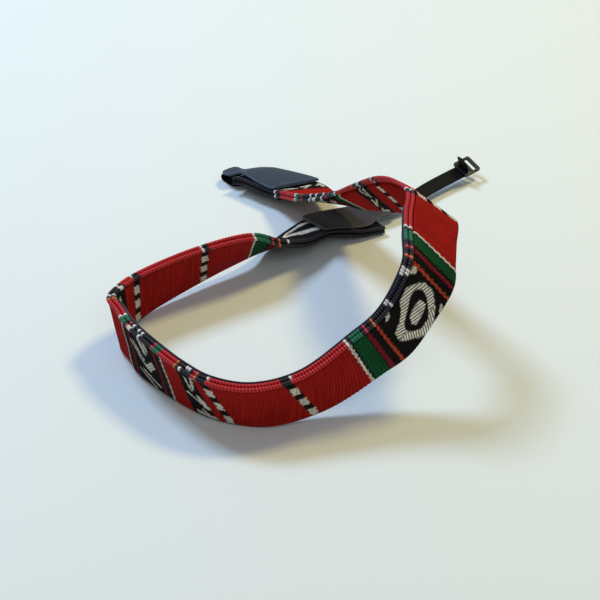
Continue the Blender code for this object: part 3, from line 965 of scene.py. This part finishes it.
def webbing(name, solid, centres, across, material):
    """The webbing along its centre points, flat with rounded edges."""
    centres, across = np.array(centres), unit(np.array(across))
    half = np.full(len(centres), WEBBING_WIDTH / 2)
    half[-1] *= TAIL_TIP
    steps = np.concatenate([[0.0], np.cumsum(np.linalg.norm(np.diff(centres, axis=0), axis=1))])
    rows = math.ceil(steps[-1] / WEBBING_ROW)
    mesh, share_along, share_round = grid_mesh(name, rows, 2 * WEBBING_COLUMNS)
    walked = share_along * steps[-1]

    def pick(table):
        return np.stack([np.interp(walked, steps, table[:, k]) for k in range(3)], axis=-1)

    ahead = unit(np.gradient(centres, steps, axis=0))
    middle, side = pick(centres), unit(pick(across))
    up = unit(np.cross(pick(ahead), side))
    turn = share_round * 2 * math.pi
    wide = np.interp(walked, steps, half) * squared(np.cos(turn), SIDE_ROUNDING)
    thick = WEBBING_THICKNESS / 2 * squared(np.sin(turn), WEBBING_ROUNDING)
    set_places(mesh, middle - side * wide[:, None] + up * thick[:, None])
    point_values(mesh, "along", walked)
    point_values(mesh, "aside", wide)
    close_up(mesh)
    piece = place_piece(name, mesh, material)
    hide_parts(solid)


black_webbing = polyamide_webbing()
webbing_level = OVER_CORDS - GAP - WEBBING_THICKNESS / 2

b_stops = evenly(strap.length - WEBBING_B_LENGTH - WEBBING_TUCK, strap.length, WEBBING_STEP)
b_centres = list(strap.place(b_stops, np.zeros(len(b_stops)), np.full(len(b_stops), webbing_level)))
b_across = list(strap.frame(b_stops)[2])
_, b_ahead, b_side, b_up = strap.frame(strap.length)
b_tail = tail(b_centres[-1], b_ahead, b_up, TAIL_B)[1:]
webbing("flat_webbing_b", "webbing_b", b_centres + b_tail, b_across + [b_side] * len(b_tail), black_webbing)

band_stops = evenly(BAND_START, BAND_END, BAND_STEP)
foot_edge = [strap.place(band_stops, np.full(len(band_stops), BAND_WIDTH / 2),
                         np.full(len(band_stops), level))[:, 2]
             for level in (-PANEL_THICKNESS / 2, PANEL_THICKNESS / 2)]
floor_level = float(np.min(foot_edge)) + WEBBING_THICKNESS / 2
a_stops = evenly(WEBBING_TUCK, 0.0, WEBBING_STEP)
a_centres = list(strap.place(a_stops, np.zeros(len(a_stops)), np.full(len(a_stops), webbing_level)))
a_across = list(strap.frame(a_stops)[2])
_, a_ahead, a_side, _ = strap.frame(0.0)
a_away = unit(np.array((-a_ahead[0], -a_ahead[1], 0.0)))
a_high = a_centres[-1]
a_radius = (a_high[2] - floor_level) / 2
for turn in np.linspace(FOLD_START, 1.0, BEND_CUTS) * math.pi:
    drop = np.array((0.0, 0.0, a_radius * (1 - math.cos(turn))))
    a_centres.append(a_high + a_away * a_radius * math.sin(turn) - drop)
    a_across.append(unit(np.array((a_side[0], a_side[1], 0.0))))
for along in evenly(0.0, WEBBING_A_RUN, WEBBING_STEP)[1:]:
    middle, _, side, _ = strap.frame(along)
    a_centres.append(np.array((middle[0], middle[1], floor_level)))
    a_across.append(unit(np.array((side[0], side[1], 0.0))))
skyward = np.array((0.0, 0.0, 1.0))
a_last = a_across[-1]
a_heading = unit(np.cross(a_last, skyward))
if a_heading.dot(a_centres[-1] - a_centres[-2]) < 0:
    a_heading = -a_heading
a_tail = tail(a_centres[-1], a_heading, skyward, TAIL_A)[1:]
webbing("flat_webbing_a", "webbing_a", a_centres + a_tail, a_across + [a_last] * len(a_tail), black_webbing)


# The sliders
# A tri-glide slider of black moulded acetal on each webbing: two slots between three rounded bars.
# The webbing's tail comes up through the first slot and holds it in place.

SLIDER_WIDTH = 0.0140
SLIDER_THICKNESS = 0.0018
SLIDER_BAR = 0.0026
SLIDER_SLOT = 0.0032
SLIDER_SIDE = 0.0017
SLIDER_CORNER = 0.0016
SLIDER_SETBACK = 0.0020
SLIDER_EDGE = 0.00045
ACETAL_COLOUR = (0.0060, 0.0058, 0.0056, 1.0)


def moulded_acetal():
    made, tree, shader = blank_material("black_acetal")
    place = node(tree, "ShaderNodeTexCoord").outputs["Object"]
    spark = noise(tree, place, 3200.0, 2.0)
    scuff = noise(tree, place, 260.0, 4.0, 0.65)
    base = node(tree, "ShaderNodeRGB")
    base.outputs[0].default_value = ACETAL_COLOUR
    tree.links.new(shade_by(tree, base.outputs[0], remap(tree, scuff, 0.7, 1.6)), shader.inputs["Base Color"])
    tree.links.new(bump(tree, spark, 0.00006, 0.4), shader.inputs["Normal"])
    tree.links.new(remap(tree, scuff, 0.30, 0.48), shader.inputs["Roughness"])
    return made


def slider(name, solid, origin, ahead, across, up, material):
    """The slider is cut from a plate with two slots through it, and its edges are rounded over."""
    length = 3 * SLIDER_BAR + 2 * SLIDER_SLOT
    opening = SLIDER_WIDTH - 2 * SLIDER_SIDE
    lines = [0.0, SLIDER_BAR, SLIDER_BAR + SLIDER_SLOT, 2 * SLIDER_BAR + SLIDER_SLOT,
             2 * (SLIDER_BAR + SLIDER_SLOT), length]
    sides = [-SLIDER_WIDTH / 2, -SLIDER_WIDTH / 2 + SLIDER_SIDE, SLIDER_WIDTH / 2 - SLIDER_SIDE,
             SLIDER_WIDTH / 2]

    def is_slot(face):
        run = sum(edge.calc_length() for edge in face.edges) / 2 - opening
        return abs(face.calc_center_median().y) < SLIDER_SIDE and round(run, 5) == round(SLIDER_SLOT, 5)

    bm = bmesh.new()
    bmesh.ops.create_grid(bm, x_segments=len(lines) - 1, y_segments=len(sides) - 1, size=0.5)
    for vert in bm.verts:
        vert.co.x, vert.co.y = (lines[round((vert.co.x + 0.5) * (len(lines) - 1))],
                                sides[round((vert.co.y + 0.5) * (len(sides) - 1))])
    bmesh.ops.delete(bm, geom=[face for face in bm.faces if is_slot(face)], context="FACES")
    corners = [vert for vert in bm.verts if len(vert.link_faces) == 1]
    bmesh.ops.bevel(bm, geom=corners, affect="VERTICES", offset=SLIDER_CORNER, segments=4,
                    profile=0.5, material=-1)
    shape = bmesh.ops.extrude_face_region(bm, geom=bm.faces[:])
    bmesh.ops.translate(bm, vec=(0, 0, SLIDER_THICKNESS),
                        verts=[item for item in shape["geom"] if isinstance(item, bmesh.types.BMVert)])
    bmesh.ops.recalc_face_normals(bm, faces=bm.faces)
    bmesh.ops.dissolve_limit(bm, angle_limit=math.radians(1), verts=bm.verts, edges=bm.edges)
    rims = [edge for edge in bm.edges if edge.calc_face_angle(0) > math.radians(60)]
    bmesh.ops.bevel(bm, geom=rims, affect="EDGES", offset=SLIDER_EDGE, segments=3, profile=0.5, material=-1)
    place = Vector(origin - ahead * SLIDER_SETBACK + up * (WEBBING_THICKNESS / 2 + GAP))
    for vert in bm.verts:
        vert.co = place + Vector(ahead) * vert.co.x + Vector(across) * vert.co.y + Vector(up) * vert.co.z
    bmesh.ops.recalc_face_normals(bm, faces=bm.faces)
    mesh = bpy.data.meshes.new(name)
    bm.to_mesh(mesh)
    bm.free()
    piece = place_piece(name, mesh, material)
    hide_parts(solid)


acetal = moulded_acetal()
slider("slider_b", "buckle_b", b_centres[-1], b_ahead, b_side, b_up, acetal)
slider("slider_a", "buckle_a", a_centres[-1], a_heading, np.cross(skyward, a_heading), skyward, acetal)


# The floor and the light
# A plain pale floor, with cool light from a window at the back left, a warm lamp at the back right and a soft
# fill from the front.

FLOOR_SIZE = 6.0
FLOOR_COLOUR = linear(236, 244, 243)
FLOOR_ROUGHNESS = 0.6
ROOM_COLOUR = (0.93, 0.97, 1.0, 1.0)
ROOM_STRENGTH = 0.18

bm = bmesh.new()
bmesh.ops.create_grid(bm, x_segments=1, y_segments=1, size=FLOOR_SIZE / 2)
floor_mesh = bpy.data.meshes.new("floor")
bm.to_mesh(floor_mesh)
bm.free()
floor = bpy.data.objects.new("floor", floor_mesh)
bpy.context.scene.collection.objects.link(floor)
floor_finish, _, floor_shader = blank_material("floor")
floor_shader.inputs["Base Color"].default_value = (*FLOOR_COLOUR, 1.0)
floor_shader.inputs["Roughness"].default_value = FLOOR_ROUGHNESS
floor_mesh.materials.append(floor_finish)


def window(name, place, size, power, colour):
    """A soft rectangular light, aimed at the middle of the floor."""
    light = bpy.data.lights.new(name, "AREA")
    light.shape = "RECTANGLE"
    light.size, light.size_y = size
    light.energy = power
    light.color = colour
    lamp = bpy.data.objects.new(name, light)
    bpy.context.scene.collection.objects.link(lamp)
    lamp.location = place
    lamp.rotation_euler = Vector(place).to_track_quat("Z", "Y").to_euler()


window("cool_window", place=(-0.75, 0.80, 1.30), size=(0.45, 0.45), power=19.0, colour=(0.56, 0.72, 1.0))
window("warm_lamp", place=(0.75, 0.65, 1.40), size=(0.35, 0.35), power=12.5, colour=(1.0, 0.79, 0.32))
window("front_fill", place=(0.2, -1.2, 1.3), size=(1.4, 0.9), power=5.0, colour=(0.90, 0.97, 1.0))

world = bpy.data.worlds.new("room")
world.use_nodes = True
world.node_tree.nodes["Background"].inputs["Color"].default_value = ROOM_COLOUR
world.node_tree.nodes["Background"].inputs["Strength"].default_value = ROOM_STRENGTH
bpy.context.scene.world = world
bpy.context.scene.view_settings.view_transform = "Standard"
